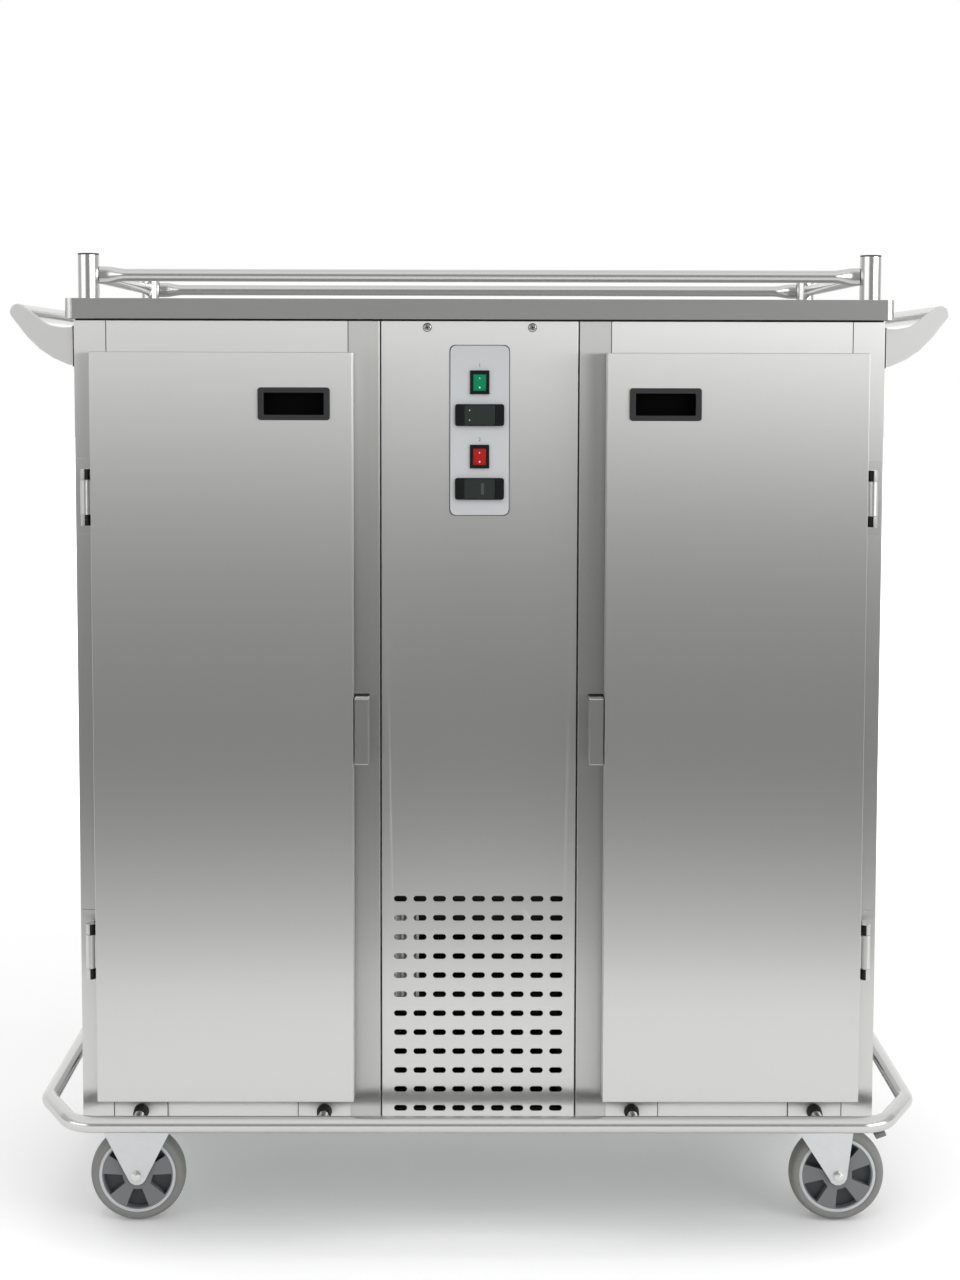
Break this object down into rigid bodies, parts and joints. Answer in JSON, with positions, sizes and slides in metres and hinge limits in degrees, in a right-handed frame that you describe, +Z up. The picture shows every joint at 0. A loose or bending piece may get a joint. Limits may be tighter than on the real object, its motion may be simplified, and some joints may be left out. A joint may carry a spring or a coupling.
{
  "type": "refrigerated food cart",
  "caption": "Insulated stainless food cart with side-by-side cooled compartments, overlay doors, a central machine column, push handles, bumper ring, gallery top and braked swivel casters.",
  "frame": {"origin": "on the floor under the middle of the cart", "axes": "+Z up; the doors and the controls face -Y; the fixed casters are on -X and the swivel casters on +X"},
  "size_m": [1.5016, 0.8588, 1.617],
  "materials": {
    "brushed_steel": "vertically brushed satin",
    "plain_steel": "plain satin sheet",
    "zinc_plate": "zinc-plated",
    "aluminium": "mill",
    "insulation": "foam block with a steel-coloured liner",
    "black_plastic": "satin",
    "grey_plastic": "matte",
    "tyre_rubber": "matte grey",
    "seal_rubber": "matte",
    "green_cap": "gloss green",
    "red_cap": "gloss red",
    "black_enamel": "black enamel"
  },
  "bodies": {
    "cart": {"base_frame": "zinc_plate", "bumper_ring": "brushed_steel", "compressor": "black_enamel", "condenser": "aluminium", "control_plate": "plain_steel", "electric_box": "grey_plastic", "front_gallery_rail": "brushed_steel", "front_panel": "brushed_steel", "left_casing": "brushed_steel", "left_catch_cover": "plain_steel", "left_evaporator": "aluminium", "left_front_fork": "zinc_plate", "left_gallery_frame": "brushed_steel", "left_insulation": "insulation", "left_lower_hinge": "plain_steel", "left_push_handle": "brushed_steel", "left_rear_fork": "zinc_plate", "left_runner_rack": "plain_steel", "left_upper_hinge": "plain_steel", "lower_controller": "black_plastic", "lower_switch_housing": "black_plastic", "rear_gallery_rail": "brushed_steel", "rear_panel": "brushed_steel", "right_casing": "brushed_steel", "right_catch_cover": "plain_steel", "right_evaporator": "aluminium", "right_front_swivel_head": "zinc_plate", "right_gallery_frame": "brushed_steel", "right_insulation": "insulation", "right_lower_hinge": "plain_steel", "right_push_handle": "brushed_steel", "right_rear_swivel_head": "zinc_plate", "right_runner_rack": "plain_steel", "right_upper_hinge": "plain_steel", "top_deck": "brushed_steel", "upper_controller": "black_plastic", "upper_switch_housing": "black_plastic"},
    "left_door": {"left_door_pan": "brushed_steel", "left_door_core": "insulation", "left_door_gasket": "seal_rubber", "left_door_pull": "black_plastic"},
    "right_door": {"right_door_pan": "brushed_steel", "right_door_core": "insulation", "right_door_gasket": "seal_rubber", "right_door_pull": "black_plastic"},
    "upper_rocker": {"upper_rocker": "green_cap"},
    "lower_rocker": {"lower_rocker": "red_cap"},
    "condenser_fan": {"condenser_fan": "black_plastic"},
    "left_front_wheel": {"left_front_tyre": "tyre_rubber", "left_front_hub": "grey_plastic"},
    "left_rear_wheel": {"left_rear_tyre": "tyre_rubber", "left_rear_hub": "grey_plastic"},
    "right_front_swivel": {"right_front_fork": "zinc_plate"},
    "right_rear_swivel": {"right_rear_fork": "zinc_plate"},
    "right_front_wheel": {"right_front_tyre": "tyre_rubber", "right_front_hub": "grey_plastic"},
    "right_rear_wheel": {"right_rear_tyre": "tyre_rubber", "right_rear_hub": "grey_plastic"},
    "right_front_pedal": {"right_front_brake_pedal": "grey_plastic"},
    "right_rear_pedal": {"right_rear_brake_pedal": "grey_plastic"}
  },
  "joints": [
    {"name": "left_door_hinge", "type": "hinge", "parent": "cart", "child": "left_door", "pos_m": [-0.6275, -0.378, 0.8544], "axis": [0, 0, -1], "range_deg": [0, 190]},
    {"name": "right_door_hinge", "type": "hinge", "parent": "cart", "child": "right_door", "pos_m": [0.6275, -0.378, 0.8544], "axis": [0, 0, 1], "range_deg": [0, 190]},
    {"name": "upper_rocker_pivot", "type": "hinge", "parent": "cart", "child": "upper_rocker", "pos_m": [0, -0.3494, 1.4133], "axis": [-1, 0, 0], "range_deg": [0, 18]},
    {"name": "lower_rocker_pivot", "type": "hinge", "parent": "cart", "child": "lower_rocker", "pos_m": [0, -0.3494, 1.2945], "axis": [-1, 0, 0], "range_deg": [0, 18]},
    {"name": "condenser_fan_spin", "type": "hinge", "parent": "cart", "child": "condenser_fan", "pos_m": [0, -0.258, 0.36], "axis": [0, 1, 0], "continuous": true},
    {"name": "left_front_wheel_spin", "type": "hinge", "parent": "cart", "child": "left_front_wheel", "pos_m": [-0.573, -0.252, 0.08], "axis": [0, 1, 0], "continuous": true},
    {"name": "left_rear_wheel_spin", "type": "hinge", "parent": "cart", "child": "left_rear_wheel", "pos_m": [-0.573, 0.252, 0.08], "axis": [0, 1, 0], "continuous": true},
    {"name": "right_front_swivel_turn", "type": "hinge", "parent": "cart", "child": "right_front_swivel", "pos_m": [0.573, -0.252, 0.17], "axis": [0, 0, 1], "continuous": true},
    {"name": "right_front_wheel_spin", "type": "hinge", "parent": "right_front_swivel", "child": "right_front_wheel", "pos_m": [0.607, -0.252, 0.08], "axis": [0, 1, 0], "continuous": true},
    {"name": "right_front_pedal_press", "type": "hinge", "parent": "right_front_swivel", "child": "right_front_pedal", "pos_m": [0.628, -0.252, 0.17], "axis": [0, 1, 0], "range_deg": [0, 9]},
    {"name": "right_rear_swivel_turn", "type": "hinge", "parent": "cart", "child": "right_rear_swivel", "pos_m": [0.573, 0.252, 0.17], "axis": [0, 0, 1], "continuous": true},
    {"name": "right_rear_wheel_spin", "type": "hinge", "parent": "right_rear_swivel", "child": "right_rear_wheel", "pos_m": [0.607, 0.252, 0.08], "axis": [0, 1, 0], "continuous": true},
    {"name": "right_rear_pedal_press", "type": "hinge", "parent": "right_rear_swivel", "child": "right_rear_pedal", "pos_m": [0.628, 0.252, 0.17], "axis": [0, 1, 0], "range_deg": [0, 9]}
  ]
}
